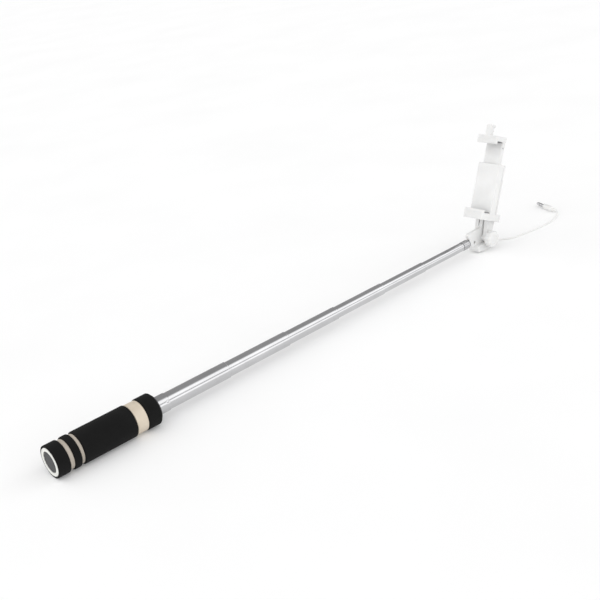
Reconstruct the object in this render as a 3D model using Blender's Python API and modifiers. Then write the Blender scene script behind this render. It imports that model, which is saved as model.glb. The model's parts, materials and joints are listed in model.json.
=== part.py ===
"""Wired pocket selfie stick: foam-covered handle, seven-section telescopic rod,
folding phone clamp with a thumb knob, and a short lead that ends in a 3.5 mm plug.

The stick lies on a surface along +X, handle to head, with +Z up.  Sizes below are in
millimetres in the stick's own frame: x from the handle's rear face, z from the rod's axis.
The clamp has its own frame, with its origin on the tilt pivot, z along the clamp and
-x towards the phone.
"""
import math

import bmesh
import bpy
from mathutils import Vector

MM = 0.001

# ---------------------------------------------------------------- driving dimensions
ORIGIN_X = 273.45         # middle of the object's length, where the part's origin is
ORIGIN_Y = -1.1           # middle of its width: the knob stands out on one side
GRIP_R = 13.6             # foam outer radius, also the height of the rod's axis
SHELL_R = 11.3            # handle tube
SHELL_BORE_R = 10.0
BAND_R = 12.9             # raised cream band that carries the button
BAND_X = (72.1, 82.2)
SPACER_R = 12.3           # narrow rings between the foam sleeves, set below them
SHELL_X = (3.2, 94.2)
FOAM_BORE_R = 11.6

TUBE_R = [7.75 - 0.55 * i for i in range(7)]              # outer radii of the seven tubes
TUBE_FRONT = [107.5, 170.0, 237.0, 297.0, 358.0, 416.5, 475.6]
TUBE_WALL = 0.30
SLEEVE_GAP = 0.05
TUBE_OVERLAP = 10.0       # length that stays inside the tube behind
TUBE_1_REAR = 31.3
STEP_LEFT = 1.0           # length of each section that still shows when retracted
LEAD_PACK = 12.2          # length of each curly lead section when retracted
LEAD_R = 2.5              # outer radius of the curly lead
LEAD_START = 31.5
WIRE_R = 0.6

PIVOT = (509.0, 0.0, -1.0)        # tilt pivot
CLAMP_LEAN = math.radians(23.9)   # the clamp leans forward from upright
LEAF_T = 3.8              # thickness of the base's leaf
FORK_IN = 3.4             # inner and outer face of the fork's ears
FORK_OUT = 7.9
BOSS_R = 3.6              # raised boss round the pivot, which bears on the ears
BOSS_Y = 3.1
BLOCK_W = 13.0
KNOB_R = 8.5
KNOB_Y = (-15.8, -8.5)

JAW_LOW = 26.0            # phone's lower edge, along the clamp
JAW_HIGH = 96.0           # phone's upper edge, along the clamp
PHONE_BACK = 11.7         # phone's back in front of the pivot
JAW_FRONT = 22.2          # how far the jaws reach in front of the pivot
LIP_T = 1.4               # thickness of the lips in front of the phone's edges
JAW_UNDER = 17.8          # lower jaw's underside, along the clamp
JAW_REAR = 6.0
JAW_W = 26.4              # width of the jaws and the housing
HOUSING_TOP = 75.0
HOUSING_REAR = -0.5
FORK_TOP = 23.0           # bottom of the fork's slot, from the pivot
SPRING_X = -6.3

CORD_R = 0.75
FLOOR_Z = -GRIP_R

ROUND = 20                # facets round the rod and the handle

# ---------------------------------------------------------------- scene set-up
for ob in list(bpy.data.objects):
    bpy.data.objects.remove(ob, do_unlink=True)

PARTS = bpy.data.collections.new("selfie_stick")
CUTTERS = bpy.data.collections.new("cutters")
bpy.context.scene.collection.children.link(PARTS)
bpy.context.scene.collection.children.link(CUTTERS)


def material(name, rgb, roughness, metallic=0.0):
    mat = bpy.data.materials.new(name)
    mat.use_nodes = True
    shader = mat.node_tree.nodes["Principled BSDF"]
    shader.inputs["Base Color"].default_value = (*rgb, 1.0)
    shader.inputs["Roughness"].default_value = roughness
    shader.inputs["Metallic"].default_value = metallic
    mat.diffuse_color = (*rgb, 1.0)
    return mat


FOAM = (0.012, 0.012, 0.013), 0.9
CREAM = (0.72, 0.64, 0.52), 0.45
WHITE = (0.83, 0.83, 0.82), 0.35
CHROME = (0.75, 0.75, 0.76), 0.12, 1.0
STEEL = (0.55, 0.55, 0.56), 0.35, 1.0
BRASS = (0.72, 0.52, 0.24), 0.35, 1.0
DARK = (0.07, 0.07, 0.075), 0.6
BLACK = (0.02, 0.02, 0.02), 0.5
RUBBER = (0.25, 0.25, 0.26), 0.8
GREEN = (0.03, 0.16, 0.06), 0.5
WIRE = (0.05, 0.05, 0.05), 0.6
CORD_WHITE = (0.82, 0.82, 0.81), 0.5


def empty(name, at, parent=None, lean=0.0):
    ob = bpy.data.objects.new(name, None)
    ob.empty_display_size = 0.01
    ob.location = Vector(at) * MM
    ob.rotation_euler = (0.0, lean, 0.0)
    ob.parent = parent
    PARTS.objects.link(ob)
    return ob


STICK = empty("stick_frame", (-ORIGIN_X, -ORIGIN_Y, GRIP_R))
CLAMP = empty("clamp_pivot", PIVOT, STICK, CLAMP_LEAN)
JAW = empty("jaw_slider", (0.0, 0.0, JAW_HIGH), CLAMP)


# ---------------------------------------------------------------- modelling helpers
def put(name, data, look, parent, at=(0, 0, 0), turn=(0, 0, 0), cutter=False):
    """One object from mesh or curve data, in its collection, with its own material."""
    ob = bpy.data.objects.new(name, data)
    ob.location = Vector(at) * MM
    ob.rotation_euler = turn
    ob.parent = parent
    if cutter:
        CUTTERS.objects.link(ob)
        ob.hide_render = True
        ob.display_type = "WIRE"
    else:
        PARTS.objects.link(ob)
        data.materials.append(material(name, *look))
    return ob


AXIS_TURN = {"X": (0.0, math.pi / 2, 0.0), "Y": (-math.pi / 2, 0.0, 0.0), "Z": (0.0, 0.0, 0.0)}


def smooth(ob, angle=35):
    ob.data.shade_smooth()
    ob.data.set_sharp_from_angle(angle=math.radians(angle))


def turned(name, profile, look, parent, axis="X", at=(0, 0, 0), steps=ROUND, cutter=False):
    """A turned shape.  profile is (position along the axis, radius) in mm; a profile that
    starts and ends on the axis is solid, any other is closed into a ring."""
    solid = profile[0][1] == 0.0 and profile[-1][1] == 0.0
    area = sum(a[1] * b[0] - b[1] * a[0] for a, b in zip(profile, profile[1:] + profile[:1]))
    if area > 0:
        profile = profile[::-1]
    mesh = bpy.data.meshes.new(name)
    bm = bmesh.new()
    verts = [bm.verts.new((r * MM, 0.0, s * MM)) for s, r in profile]
    for a, b in zip(verts, verts[1:]):
        bm.edges.new((a, b))
    if not solid:
        bm.edges.new((verts[-1], verts[0]))
    bm.to_mesh(mesh)
    bm.free()
    ob = put(name, mesh, look, parent, at, AXIS_TURN[axis], cutter)
    screw = ob.modifiers.new("turn", "SCREW")
    screw.axis = "Z"
    screw.angle = 2 * math.pi
    screw.steps = steps
    screw.render_steps = steps
    screw.use_merge_vertices = True
    screw.merge_threshold = 0.00001
    screw.use_smooth_shade = True
    return ob


def box(name, low, high, look, parent, bevel=0.0, cutter=False, segments=1):
    low, high = Vector(low), Vector(high)
    mesh = bpy.data.meshes.new(name)
    bm = bmesh.new()
    bmesh.ops.create_cube(bm, size=1.0)
    bmesh.ops.scale(bm, vec=(high - low) * MM, verts=bm.verts)
    bm.to_mesh(mesh)
    bm.free()
    ob = put(name, mesh, look, parent, (low + high) / 2, (0, 0, 0), cutter)
    if bevel:
        round_edges(ob, bevel, segments)
    return ob


def round_edges(ob, width, segments=1):
    mod = ob.modifiers.new("round", "BEVEL")
    mod.width = width * MM
    mod.segments = segments
    mod.limit_method = "ANGLE"
    mod.angle_limit = math.radians(40)
    return mod


def meshed(curve_ob):
    """The curve object as a closed mesh object of the same name and place."""
    bpy.context.view_layer.update()
    graph = bpy.context.evaluated_depsgraph_get()
    mesh = bpy.data.meshes.new_from_object(curve_ob.evaluated_get(graph))
    bm = bmesh.new()
    bm.from_mesh(mesh)
    bmesh.ops.remove_doubles(bm, verts=bm.verts, dist=0.000002)
    bmesh.ops.recalc_face_normals(bm, faces=bm.faces)
    bm.to_mesh(mesh)
    bm.free()
    name, parent = curve_ob.name, curve_ob.parent
    colls = list(curve_ob.users_collection)
    local = curve_ob.matrix_local.copy()
    hidden = curve_ob.hide_render
    curve_ob.name = name + "_curve"
    ob = bpy.data.objects.new(name, mesh)
    for coll in colls:
        coll.objects.link(ob)
    ob.parent = parent
    ob.matrix_local = local
    ob.hide_render = hidden
    if hidden:
        ob.display_type = "WIRE"
    bpy.data.objects.remove(curve_ob, do_unlink=True)
    return ob


def plate(name, outline, low, high, look, parent, plane="XZ", cutter=False, bevel=0.0):
    """A flat outline with a thickness.  In plane XZ the outline is (x, z) and the
    thickness runs from y=low to y=high; in XY it is (x, y) and runs from z=low to high."""
    curve = bpy.data.curves.new(name, "CURVE")
    curve.dimensions = "2D"
    curve.fill_mode = "BOTH"
    curve.extrude = (high - low) / 2 * MM
    spline = curve.splines.new("POLY")
    spline.points.add(len(outline) - 1)
    for point, (a, b) in zip(spline.points, outline):
        point.co = (a * MM, b * MM, 0.0, 1.0)
    spline.use_cyclic_u = True
    middle = (low + high) / 2
    if plane == "XZ":
        ob = put(name, curve, look, parent, (0, middle, 0), (math.pi / 2, 0, 0), cutter)
    else:
        ob = put(name, curve, look, parent, (0, 0, middle), (0, 0, 0), cutter)
    ob = meshed(ob)
    if bevel:
        round_edges(ob, bevel)
    return ob


def wire(name, points, radius, look, parent, cutter=False, resolution=2):
    """A round wire through the points: a POLY curve with filled caps."""
    curve = bpy.data.curves.new(name, "CURVE")
    curve.dimensions = "3D"
    curve.bevel_depth = radius * MM
    curve.bevel_resolution = resolution
    curve.use_fill_caps = True
    spline = curve.splines.new("POLY")
    spline.points.add(len(points) - 1)
    for point, p in zip(spline.points, points):
        point.co = (p[0] * MM, p[1] * MM, p[2] * MM, 1.0)
    return put(name, curve, look, parent, cutter=cutter)


def joined(ob, other, how="UNION"):
    mod = ob.modifiers.new(how.lower(), "BOOLEAN")
    mod.operation = how
    mod.solver = "EXACT"
    mod.object = other
    return mod


def cut(ob, *cutters):
    for cutter in cutters:
        joined(ob, cutter, "DIFFERENCE")


def arc(cx, cz, radius, start, end, count):
    """Points on an arc, degrees, both ends included."""
    return [(cx + radius * math.cos(math.radians(start + (end - start) * i / (count - 1))),
             cz + radius * math.sin(math.radians(start + (end - start) * i / (count - 1))))
            for i in range(count)]


def smooth_route(points, step):
    """A smooth curve through the points (centripetal Catmull-Rom), sampled evenly."""
    pts = [Vector(p) for p in points]
    pts = [2 * pts[0] - pts[1]] + pts + [2 * pts[-1] - pts[-2]]
    fine = []
    for i in range(1, len(pts) - 2):
        p0, p1, p2, p3 = pts[i - 1:i + 3]
        t0 = 0.0
        t1 = t0 + max((p1 - p0).length, 1e-6) ** 0.5
        t2 = t1 + max((p2 - p1).length, 1e-6) ** 0.5
        t3 = t2 + max((p3 - p2).length, 1e-6) ** 0.5
        for k in range(40):
            t = t1 + (t2 - t1) * k / 40
            a1 = p0 * ((t1 - t) / (t1 - t0)) + p1 * ((t - t0) / (t1 - t0))
            a2 = p1 * ((t2 - t) / (t2 - t1)) + p2 * ((t - t1) / (t2 - t1))
            a3 = p2 * ((t3 - t) / (t3 - t2)) + p3 * ((t - t2) / (t3 - t2))
            b1 = a1 * ((t2 - t) / (t2 - t0)) + a2 * ((t - t0) / (t2 - t0))
            b2 = a2 * ((t3 - t) / (t3 - t1)) + a3 * ((t - t1) / (t3 - t1))
            fine.append(b1 * ((t2 - t) / (t2 - t1)) + b2 * ((t - t1) / (t2 - t1)))
    fine.append(pts[-2])
    total = sum((b - a).length for a, b in zip(fine, fine[1:]))
    count = max(2, round(total / step))
    out, run, want = [fine[0]], 0.0, total / count
    for a, b in zip(fine, fine[1:]):
        seg = (b - a).length
        while len(out) < count and run + seg >= want * len(out):
            out.append(a.lerp(b, (want * len(out) - run) / seg))
        run += seg
    out.append(fine[-1])
    return out


def foam(name, x0, x1, round_r=1.2, rear_bore=None):
    """A foam sleeve with rounded rims; rear_bore is a wider bore over the first 2 mm."""
    pts = [(x0, FOAM_BORE_R if rear_bore is None else rear_bore)]
    pts += [(x0, GRIP_R - round_r)]
    pts += [(x0 + round_r - a, GRIP_R - round_r + b)
            for a, b in arc(0, 0, round_r, 0, 90, 3)[1:-1]]
    pts += [(x0 + round_r, GRIP_R), (x1 - round_r, GRIP_R)]
    pts += [(x1 - round_r + b, GRIP_R - round_r + a)
            for a, b in [(q[1], q[0]) for q in arc(0, 0, round_r, 90, 0, 3)[1:-1]]]
    pts += [(x1, GRIP_R - round_r), (x1, FOAM_BORE_R)]
    if rear_bore is not None:
        pts += [(x0 + 1.9, FOAM_BORE_R), (x0 + 1.9, rear_bore)]
    return turned(name, pts, FOAM, STICK)


# ---------------------------------------------------------------- handle
BUTTON_X = sum(BAND_X) / 2

shell = turned("handle_shell", [
    (SHELL_X[0], SHELL_BORE_R), (SHELL_X[0], SHELL_R),
    (BAND_X[0], SHELL_R), (BAND_X[0], BAND_R - 0.4), (BAND_X[0] + 0.4, BAND_R),
    (BAND_X[1] - 0.4, BAND_R), (BAND_X[1], BAND_R - 0.4), (BAND_X[1], SHELL_R),
    (SHELL_X[1], SHELL_R), (SHELL_X[1], SHELL_BORE_R)], CREAM, STICK)
button_pocket = turned("cut_button_pocket", [(6.0, 0.0), (6.0, 4.0), (11.85, 4.0), (11.85, 0.0)],
                       CREAM, STICK, "Y", (BUTTON_X, 0, 0), 20, True)
button_hole = turned("cut_button_hole", [(11.0, 0.0), (11.0, 3.3), (16.0, 3.3), (16.0, 0.0)],
                     CREAM, STICK, "Y", (BUTTON_X, 0, 0), 20, True)
cut(shell, button_pocket, button_hole)

foam("foam_ring_rear", 1.3, 11.7, rear_bore=12.1)
foam("foam_ring_second", 15.7, 21.4)
foam("foam_grip_main", 24.6, 71.8)
foam("foam_ring_front", 82.5, 94.5)


def spacer(name, x0, x1):
    return turned(name, [(x0, FOAM_BORE_R), (x0, SPACER_R - 0.3), (x0 + 0.3, SPACER_R),
                         (x1 - 0.3, SPACER_R), (x1, SPACER_R - 0.3), (x1, FOAM_BORE_R)],
                  CREAM, STICK)


spacer("spacer_ring_rear", 12.0, 15.4)
spacer("spacer_ring_front", 21.7, 24.3)

turned("end_cap", [(2.7, 0.0), (2.7, 8.9), (1.2, 8.9), (1.0, 9.1), (1.0, 11.4), (1.4, 11.8),
                   (2.9, 11.8), (2.9, 9.7), (9.0, 9.7), (9.0, 8.0), (4.4, 8.0), (4.4, 0.0)],
       WHITE, STICK)
turned("end_disc", [(1.3, 0.0), (1.3, 8.1), (1.7, 8.6), (2.4, 8.6), (2.4, 0.0)], DARK, STICK)

turned("front_bush", [(85.6, 8.0), (85.6, 9.7), (94.8, 9.7), (94.8, 11.6), (95.6, 11.6),
                      (96.2, 11.0), (96.2, 8.0)], BLACK, STICK)
rear_bush = turned("rear_bush", [(29.2, 6.9), (29.2, 9.7), (41.0, 9.7), (41.0, 8.0),
                                 (31.0, 8.0), (31.0, 6.9)], BLACK, STICK)
cut(rear_bush, box("cut_lead_notch", (28.0, 7.4, -1.1), (42.0, 11.0, 1.1), BLACK, STICK,
                   cutter=True))

# push switch on its board, between the rod and the shell
box("switch_board", (70.5, 8.05, -3.9), (84.5, 8.75, 3.9), GREEN, STICK)
switch = box("switch_housing", (BUTTON_X - 2.2, 9.05, -2.2), (BUTTON_X + 2.2, 10.2, 2.2),
             BLACK, STICK)
cut(switch, turned("cut_switch", [(9.35, 0.0), (9.35, 1.4), (11.0, 1.4), (11.0, 0.0)],
                   BLACK, STICK, "Y", (BUTTON_X, 0, 0), 16, True))
turned("switch_plunger", [(9.95, 0.0), (9.95, 1.1), (10.65, 1.1), (10.65, 0.0)], DARK, STICK,
       "Y", (BUTTON_X, 0, 0), 16)
turned("shutter_button", [(10.95, 0.0), (10.95, 3.7), (11.55, 3.7), (11.55, 3.0),
                          (13.1, 3.0), (13.4, 2.7), (13.5, 1.6), (13.5, 0.0)], WHITE, STICK,
       "Y", (BUTTON_X, 0, 0), 20)

# lead from the board along the shell's bore, round behind the rod and into its axis
TURN_R = 8.75 / 2
wire("handle_lead", [(70.2, 8.75, 0.0), (50.0, 8.75, 0.0), (26.8, 8.75, 0.0)]
     + [(26.8 + TURN_R * math.cos(math.radians(a)), TURN_R + TURN_R * math.sin(math.radians(a)),
         0.0) for a in range(112, 270, 22)]
     + [(26.8, 0.0, 0.0), (LEAD_START - 0.3, 0.0, 0.0)], WIRE_R, WIRE, STICK)

# ---------------------------------------------------------------- telescopic rod
def rod_tube(index):
    """Tube of the rod: thin wall, and a swaged front end that keeps the next tube in."""
    r, front = TUBE_R[index], TUBE_FRONT[index]
    rear = TUBE_1_REAR if index == 0 else TUBE_FRONT[index - 1] - TUBE_OVERLAP
    bore = r - TUBE_WALL
    lip = bore if index == 6 else TUBE_R[index + 1] + 0.08
    pts = [(rear, bore), (rear, r), (front - 0.3, r), (front, r - 0.22), (front, lip)]
    if index != 6:
        pts += [(front - 1.2, lip), (front - 1.5, bore)]
    return turned(f"rod_tube_{index + 1}", pts, CHROME, STICK)


for i in range(7):
    rod_tube(i)

# split friction sleeves on the rear ends of the sliding tubes
for i in range(1, 7):
    rear = TUBE_FRONT[i - 1] - TUBE_OVERLAP
    r0, r1 = TUBE_R[i] + SLEEVE_GAP, TUBE_R[i - 1] - TUBE_WALL - SLEEVE_GAP
    turned(f"friction_sleeve_{i + 1}", [(rear + 0.2, r0), (rear + 0.2, r1), (rear + 8.2, r1),
                                        (rear + 8.2, r0)], BRASS, STICK)

# curly lead inside the rod, one length for each sliding section
TRAVEL = [TUBE_FRONT[i] - TUBE_FRONT[i - 1] - STEP_LEFT for i in range(1, 7)]
start = LEAD_START
for i in range(1, 7):
    end = start + TRAVEL[i - 1] + LEAD_PACK
    wire(f"inner_lead_{i + 1}", [(start, 0.0, 0.0), (end - 0.3, 0.0, 0.0)], LEAD_R, WIRE, STICK)
    start = end
LEAD_END = start

# ---------------------------------------------------------------- head
# metal neck in the last tube, with a flat tang for the hinge base
LEAD_Z = 2.5
tip_x = TUBE_FRONT[6]
neck = turned("rod_tip_fitting", [(471.0, 0.0), (471.0, 3.95), (tip_x + 0.3, 3.95),
                                  (tip_x + 0.3, 4.2), (tip_x + 0.8, 4.7), (483.9, 4.7),
                                  (484.8, 4.2), (486.0, 3.6), (486.0, 0.0)], CHROME, STICK)
tang = box("add_tang", (484.0, -0.65, -3.6), (498.2, 0.65, 1.1), CHROME, STICK, cutter=True)
joined(neck, tang)
cut(neck,
    turned("cut_neck_lead", [(469.0, 0.0), (469.0, 0.85), (490.0, 0.85), (490.0, 0.0)], CHROME,
           STICK, "X", (0, 0, LEAD_Z), 12, True),
    turned("cut_tang_hole", [(-3.0, 0.0), (-3.0, 1.4), (3.0, 1.4), (3.0, 0.0)], CHROME,
           STICK, "Y", (494.0, 0, -1.2), 16, True))

turned("head_pin", [(-1.5, 0.0), (-1.5, 1.1), (1.5, 1.1), (1.5, 0.0)], STEEL, STICK, "Y",
       (494.0, 0, -1.2), 16)

# hinge base: thin leaf that stands in the clamp's fork, and the block it grows from
LEAF = [(490.6, -6.0), (489.0, -4.0), (487.8, 0.7), (484.8, 8.4), (485.2, 9.5), (486.5, 10.0),
        (506.5, 10.7), (509.5, 16.5), (510.3, 19.8), (511.3, 20.3), (514.0, 19.4),
        (516.2, 15.0), (516.6, 9.0), (516.6, -6.0)]
base = plate("hinge_base", LEAF, -LEAF_T / 2, LEAF_T / 2, WHITE, STICK, bevel=0.3)
block = plate("add_block", [(494.0, -11.4), (494.0, -6.1), (494.6, -5.5), (516.4, -5.5),
                            (517.0, -6.1), (517.0, FLOOR_Z + 0.5), (516.5, FLOOR_Z),
                            (505.0, FLOOR_Z), (494.5, -11.9)],
              -BLOCK_W / 2, BLOCK_W / 2, WHITE, STICK, cutter=True, bevel=0.35)
joined(base, block)
joined(base, turned("add_boss", [(-BOSS_Y, 0.0), (-BOSS_Y, BOSS_R), (BOSS_Y, BOSS_R), (BOSS_Y, 0.0)],
                    WHITE, STICK, "Y", PIVOT, 24, True))
CHANNEL = [(485.0, 0, LEAD_Z), (496.5, 0, LEAD_Z), (498.8, 0, 1.8), (500.3, 0, -0.3),
           (500.8, 0, -3.0), (501.0, 0, -6.0), (501.8, 0, -8.4), (503.8, 0, -9.4),
           (506.5, 0, -9.5), (519.0, 0, -9.5)]
channel = meshed(wire("cut_lead_channel", CHANNEL, 0.9, WHITE, STICK, cutter=True))
cut(base,
    box("cut_tang_slot", (485.0, -0.95, -3.9), (498.5, 0.95, 1.4), WHITE, STICK, cutter=True),
    turned("cut_pin_hole", [(-4.0, 0.0), (-4.0, 1.4), (4.0, 1.4), (4.0, 0.0)], WHITE,
           STICK, "Y", (494.0, 0, -1.2), 16, True),
    turned("cut_pivot_hole", [(-5.0, 0.0), (-5.0, 1.8), (5.0, 1.8), (5.0, 0.0)], WHITE,
           STICK, "Y", PIVOT, 16, True),
    channel,
    turned("cut_gland_seat", [(513.8, 0.0), (513.8, 1.7), (519.0, 1.7), (519.0, 0.0)], WHITE,
           STICK, "X", (0, 0, -9.5), 16, True))

wire("head_lead", smooth_route([(LEAD_END, 0, 0.2), (467.6, 0, 0.6), (470.0, 0, 2.2),
                                (472.5, 0, LEAD_Z), (480.0, 0, LEAD_Z), (488.0, 0, LEAD_Z)]
                               + CHANNEL[1:-1] + [(513.5, 0, -9.5)], 2.4),
     WIRE_R - 0.05, WIRE, STICK, resolution=1)

GLAND_TIP = 523.5
turned("cord_gland", [(514.1, 0.0), (514.1, 1.4), (517.3, 1.4), (517.3, 2.4), (518.3, 2.4),
                      (519.0, 2.0), (GLAND_TIP, 1.2), (GLAND_TIP, 0.0)], CORD_WHITE, STICK,
       "X", (0, 0, -9.5), 16)

# thin cord: straight out of the gland, down to the surface, and along it to its plug
LIE = FLOOR_Z + CORD_R + 0.1
PLUG_AT = Vector((626.0, -8.2, FLOOR_Z + 3.1))
PLUG_DIR = Vector((0.338, 0.941, 0.0)).normalized()
ROUTE = [(GLAND_TIP + 0.3, 0, -9.5), (526.8, 0, -9.6), (530.6, -0.3, -11.0),
         (534.6, -1.9, -12.4), (538.2, -5.2, LIE), (541.8, -8.8, LIE), (546.4, -11.2, LIE),
         (554.0, -12.8, LIE), (562.4, -14.5, LIE), (575.8, -16.7, LIE), (587.8, -18.0, LIE),
         (599.0, -18.4, LIE), (609.5, -16.9, LIE), (617.6, -14.0, -12.5), (622.6, -11.8, -11.4),
         tuple(PLUG_AT - PLUG_DIR * 0.3)]
wire("cord", smooth_route(ROUTE, 2.8), CORD_R, CORD_WHITE, STICK, resolution=1)

# ---------------------------------------------------------------- clamp
# frame here: x away from the phone, z along the clamp, origin on the tilt pivot
FRONT_R = 3.0             # rounding of the jaws' front corners


def jaw_outline(front, rear, width):
    """Plan of a jaw: straight sides, rounded front corners."""
    w = width / 2
    return ([(rear, -w), (rear, w)] + arc(front + FRONT_R, w - FRONT_R, FRONT_R, 90, 180, 5)
            + arc(front + FRONT_R, -w + FRONT_R, FRONT_R, 180, 270, 5))


body = plate("clamp_body", jaw_outline(-JAW_FRONT, JAW_REAR, JAW_W), JAW_UNDER, JAW_LOW + 1.8,
             WHITE, CLAMP, plane="XY", bevel=0.5)
cut(body, box("cut_phone_seat", (-JAW_FRONT + LIP_T, -20.0, JAW_LOW - 1.1), (20.0, 20.0, 40.0),
              WHITE, CLAMP, cutter=True))
column = box("add_column", (-PHONE_BACK + 0.2, -JAW_W / 2, 22.0),
             (HOUSING_REAR - 2.7, JAW_W / 2, HOUSING_TOP), WHITE, CLAMP, bevel=0.6, cutter=True)
ears = plate("add_ears", [(5.1, 19.5), (5.1, 16.5)] + arc(0, 0, 4.0, 5, -185, 10)
             + [(-6.2, 16.5), (-6.2, 19.5)], -FORK_OUT, FORK_OUT, WHITE, CLAMP, cutter=True,
             bevel=0.4)
for other in (column, ears):
    joined(body, other)
cut(body,
    box("cut_arm_way", (-9.3, -9.8, 28.0), (2.0, 9.8, 90.0), WHITE, CLAMP, cutter=True),
    box("cut_fork_slot", (-12.2, -FORK_IN, -10.0), (12.0, FORK_IN, FORK_TOP), WHITE, CLAMP,
        cutter=True),
    turned("cut_ear_holes", [(-10.0, 0.0), (-10.0, 1.8), (10.0, 1.8), (10.0, 0.0)], WHITE, CLAMP,
           "Y", (0, 0, 0), 16, True),
    turned("cut_nut_seat", [(5.7, 0.0), (5.7, 3.45), (10.0, 3.45), (10.0, 0.0)], WHITE, CLAMP,
           "Y", (0, 0, 0), 6, True),
    box("cut_pin_slot", (SPRING_X - 1.0, -12.3, 28.1), (2.0, 12.3, 30.0), WHITE, CLAMP,
        cutter=True))
SCREW_AT = [(y, z) for y in (-11.3, 11.3) for z in (33.5, 69.0)]
pilot = turned("cut_pilot_0", [(-9.6, 0.0), (-9.6, 0.95), (0.0, 0.95), (0.0, 0.0)], WHITE, CLAMP,
               "X", (0, SCREW_AT[0][0], SCREW_AT[0][1]), 12, True)
for k, (y, z) in enumerate(SCREW_AT):
    if k:
        copy = pilot.copy()
        copy.name = f"cut_pilot_{k}"
        copy.location = Vector((0, y, z)) * MM
        CUTTERS.objects.link(copy)
    cut(body, pilot if k == 0 else copy)

cover = box("clamp_rear_cover", (HOUSING_REAR - 2.4, -JAW_W / 2, JAW_LOW - 0.8),
            (HOUSING_REAR, JAW_W / 2, HOUSING_TOP), WHITE, CLAMP, bevel=0.6)
for k, (y, z) in enumerate(SCREW_AT):
    cut(cover, turned(f"cut_cover_{k}", [(-4.0, 0.0), (-4.0, 0.95), (-2.0, 0.95), (-2.0, 1.6),
                                         (2.0, 1.6), (2.0, 0.0)], WHITE, CLAMP, "X",
                      (0, y, z), 12, True))

screw_profile = [(-9.2, 0.0), (-9.2, 0.4), (-8.6, 0.65), (-1.7, 0.65), (-1.7, 1.3), (-1.0, 1.3),
                 (-0.8, 1.0), (-0.8, 0.0)]
screw = turned("cover_screw_1", screw_profile, STEEL, CLAMP, "X",
               (0, SCREW_AT[0][0], SCREW_AT[0][1]), 12)
for k, (y, z) in enumerate(SCREW_AT[1:], start=2):
    copy = screw.copy()
    copy.name = f"cover_screw_{k}"
    copy.location = Vector((0, y, z)) * MM
    PARTS.objects.link(copy)

box("lower_jaw_pad", (-JAW_FRONT + LIP_T + 0.3, -11.8, JAW_LOW - 0.8),
    (-PHONE_BACK - 0.1, 11.8, JAW_LOW), RUBBER, CLAMP, bevel=0.2)
turned("spring_pin_lower", [(-12.0, 0.0), (-12.0, 0.75), (12.0, 0.75), (12.0, 0.0)], STEEL,
       CLAMP, "Y", (SPRING_X, 0, 29.0), 12)

turned("pivot_nut", [(6.0, 1.8), (6.0, 3.1), (7.9, 3.1), (8.2, 2.8), (8.2, 1.8)], STEEL,
       CLAMP, "Y", (0, 0, 0), 6)

# ---------------------------------------------------------------- knob
LOBES = 10
outline = []
for k in range(LOBES * 4):
    a = 2 * math.pi * k / (LOBES * 4)
    r = KNOB_R - 0.45 + 0.45 * math.cos(LOBES * a)
    outline.append((r * math.cos(a), r * math.sin(a)))
knob = plate("knob", outline, KNOB_Y[0], KNOB_Y[1], WHITE, CLAMP, bevel=0.7)
cut(knob, turned("cut_stud_hole", [(-13.8, 0.0), (-13.8, 1.8), (-5.0, 1.8), (-5.0, 0.0)],
                 WHITE, CLAMP, "Y", (0, 0, 0), 16, True))
turned("pivot_stud", [(-13.5, 0.0), (-13.5, 1.5), (8.6, 1.5), (8.9, 1.2), (8.9, 0.0)], STEEL,
       CLAMP, "Y", (0, 0, 0), 16)

# ---------------------------------------------------------------- upper jaw
# frame here: as the clamp's, with z=0 at the phone's upper edge
jaw = plate("upper_jaw", jaw_outline(-JAW_FRONT, -7.4, JAW_W), -1.8, 6.2, WHITE, JAW,
            plane="XY", bevel=0.5)
cut(jaw, box("cut_phone_top", (-JAW_FRONT + LIP_T, -20.0, -10.0), (20.0, 20.0, 1.1), WHITE, JAW,
             cutter=True))
arm = box("add_arm", (-9.0, -9.5, -50.5), (-3.5, 9.5, 3.0), WHITE, JAW, cutter=True)
tab = plate("add_tab", [(-JAW_FRONT + 0.1, 5.0), (-JAW_FRONT + 0.1, 16.3),
                        (-JAW_FRONT + 0.6, 16.8), (-16.0, 16.8), (-15.4, 16.2), (-15.4, 14.8),
                        (-16.0, 14.2), (-18.1, 13.8), (-18.1, 11.6), (-17.0, 11.2),
                        (-17.0, 10.2), (-18.1, 9.8), (-18.1, 5.0)], -3.3, 3.3, WHITE, JAW,
            cutter=True)
for other in (arm, tab):
    joined(jaw, other)
cut(jaw,
    box("cut_spring_way", (-8.0, -8.0, -52.0), (-4.6, 8.0, -2.5), WHITE, JAW, cutter=True),
    turned("cut_up_pin", [(-12.0, 0.0), (-12.0, 0.95), (12.0, 0.95), (12.0, 0.0)], WHITE, JAW,
           "Y", (SPRING_X, 0, -4.5), 12, True))
box("upper_jaw_pad", (-JAW_FRONT + LIP_T + 0.3, -11.8, 0.0), (-PHONE_BACK - 0.1, 11.8, 0.8),
    RUBBER, JAW, bevel=0.2)
turned("spring_pin_upper", [(-9.2, 0.0), (-9.2, 0.75), (9.2, 0.75), (9.2, 0.0)], STEEL, JAW,
       "Y", (SPRING_X, 0, -4.5), 12)

for name, y in (("jaw_spring_left", 4.0), ("jaw_spring_right", -4.0)):
    turned(name, [(30.2, 0.0), (30.2, 1.3), (JAW_HIGH - 5.6, 1.3), (JAW_HIGH - 5.6, 0.0)], STEEL,
           CLAMP, "Z", (SPRING_X, y, 0), 12)

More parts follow.
